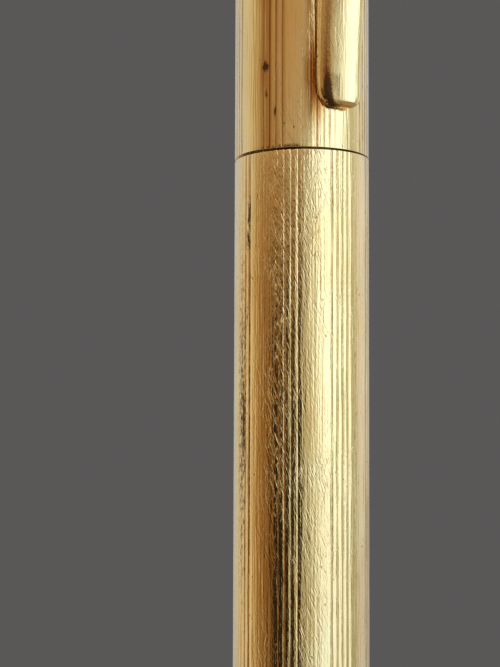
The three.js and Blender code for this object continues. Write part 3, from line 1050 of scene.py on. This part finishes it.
def build_tent():
    """Round wall with a floor across its foot."""
    points = [(TENT_RADIUS * math.cos(a), TENT_RADIUS * math.sin(a), z)
              for z in (TENT_LOW, TENT_HIGH)
              for a in np.linspace(0, TAU, TENT_SEGMENTS, endpoint=False)]
    index = np.arange(len(points)).reshape(2, TENT_SEGMENTS)
    faces = np.stack([index[0], np.roll(index[0], -1), np.roll(index[1], -1), index[1]], -1)
    mesh = bpy.data.meshes.new("light_tent")
    mesh.from_pydata(points, [], [*faces.tolist(), index[0].tolist()])
    mesh.update()
    return link(mesh, "light_tent")


def surround_light(s, where, level):
    """One column of the surroundings' table as a colour ramp."""
    ramp = s.node("ValToRGB", {0: where})
    stops = ramp.color_ramp.elements
    while len(stops) < len(SURROUND):
        stops.new(0.5)
    for stop, entry in zip(stops, SURROUND):
        stop.position = (entry[0] + 180) / 360
    for stop, entry in zip(stops, SURROUND):
        stop.color = (*entry[level], 1)
    return ramp.outputs[0]


def card_cover(s, angle, height, card):
    """How far a card covers a place on the tent, from 0 to 1."""
    return s.product(s.between(angle, *card["edge"]), s.between(angle, *card["other_edge"]),
                     s.between(height, *card["foot"]), s.between(height, *card["head"]))


def tent_material():
    """Glowing wall whose colour goes by the direction and the height."""
    s = Shader("tent_glow")
    s.tree.nodes.remove(s.surface)
    angle, height = s.turn_and_height()
    where = s.between(angle, -math.pi, math.pi)
    step = s.math("MULTIPLY", s.between(angle, *HORIZON_STEP_EDGE), HORIZON_STEP)
    rise = s.between(s.math("SUBTRACT", height, step), *HORIZON, curve="SMOOTHSTEP")
    colour = s.mix(rise, surround_light(s, where, 1), surround_light(s, where, 2))
    glare = s.mix(card_cover(s, angle, height, GLARE_CARD), (1.0, 1.0, 1.0), GLARE)
    colour = s.tinted(colour, glare)
    colour = s.mix(card_cover(s, angle, height, DARK_CARD), colour, DARK_CARD_GLOW)
    colour = s.mix(s.between(height, TENT_LOW, TENT_LOW + TENT_FLOOR_RIM), TENT_FLOOR, colour)
    strength = s.between(height, *TENT_STRENGTH_HEIGHTS, *TENT_STRENGTH)
    fade = s.product(s.between(angle, *LOW_RIGHT_EDGE),
                     s.between(height, *LOW_RIGHT_HEIGHTS, 0, LOW_RIGHT_FADE))
    strength = s.product(strength, s.math("SUBTRACT", 1.0, fade))
    glow = s.node("Emission", {"Color": colour, "Strength": strength})
    s.tree.links.new(glow.outputs[0], s.tree.nodes["Material Output"].inputs["Surface"])
    return s.material


def floor_material():
    s = Shader("pale_floor")
    mottled = s.noise(s.stretched(18, 18), 3, 0.5)
    colour = s.mix(mottled, (0.72, 0.71, 0.69), (0.78, 0.77, 0.75))
    s.set(base_color=colour, roughness=0.7)
    return s.material


def area_light(name, elevation_deg, distance, size, power):
    """Round lamp in front of the pencil, or over it, that looks at its middle."""
    data = bpy.data.lights.new(name, "AREA")
    data.shape = "DISK"
    data.size = size
    data.energy = power
    lamp = bpy.data.objects.new(name, data)
    elevation = math.radians(elevation_deg)
    back = Vector((0, -math.cos(elevation), math.sin(elevation)))
    lamp.location = Vector((0, 0, 0.07)) + back * distance
    lamp.rotation_mode = "QUATERNION"
    lamp.rotation_quaternion = back.to_track_quat("Z", "Y")
    bpy.context.collection.objects.link(lamp)


def photo_camera():
    """Camera that sees the seam and the clip's end as the photo does."""
    data = bpy.data.cameras.new("camera")
    data.sensor_width = CAMERA_SENSOR
    data.lens = CAMERA_LENS
    data.clip_start, data.clip_end = CAMERA_CLIP
    made = bpy.data.objects.new("camera", data)
    bpy.context.collection.objects.link(made)
    azimuth = math.radians(CAMERA_AZIMUTH_DEG)
    made.location = (CAMERA_DISTANCE * math.sin(azimuth), -CAMERA_DISTANCE * math.cos(azimuth),
                     CAMERA_HEIGHT)
    aim = (Matrix.Rotation(azimuth + math.radians(CAMERA_YAW_DEG), 4, "Z")
           @ Matrix.Rotation(math.radians(90 + CAMERA_PITCH_DEG), 4, "X")
           @ Matrix.Rotation(math.radians(CAMERA_ROLL_DEG), 4, "Z"))
    made.rotation_euler = aim.to_euler()
    return made


tent = build_tent()
tent.rotation_euler.z = math.radians(CAMERA_AZIMUTH_DEG)
tent.data.materials.append(tent_material())
tent.visible_camera = False
tent.visible_shadow = False

bpy.ops.mesh.primitive_circle_add(vertices=128, radius=FLOOR_RADIUS, fill_type="NGON")
floor = bpy.context.object
floor.name = "floor"
floor.data.materials.append(floor_material())
floor.visible_glossy = False

area_light("overhead", 88, 0.6, 0.5, 3)

world = bpy.data.worlds.new("studio")
world.use_nodes = True
world.node_tree.nodes["Background"].inputs["Color"].default_value = (*BACKGROUND, 1)

scene = bpy.context.scene
scene.world = world
scene.camera = photo_camera()
scene.view_settings.view_transform = "Standard"
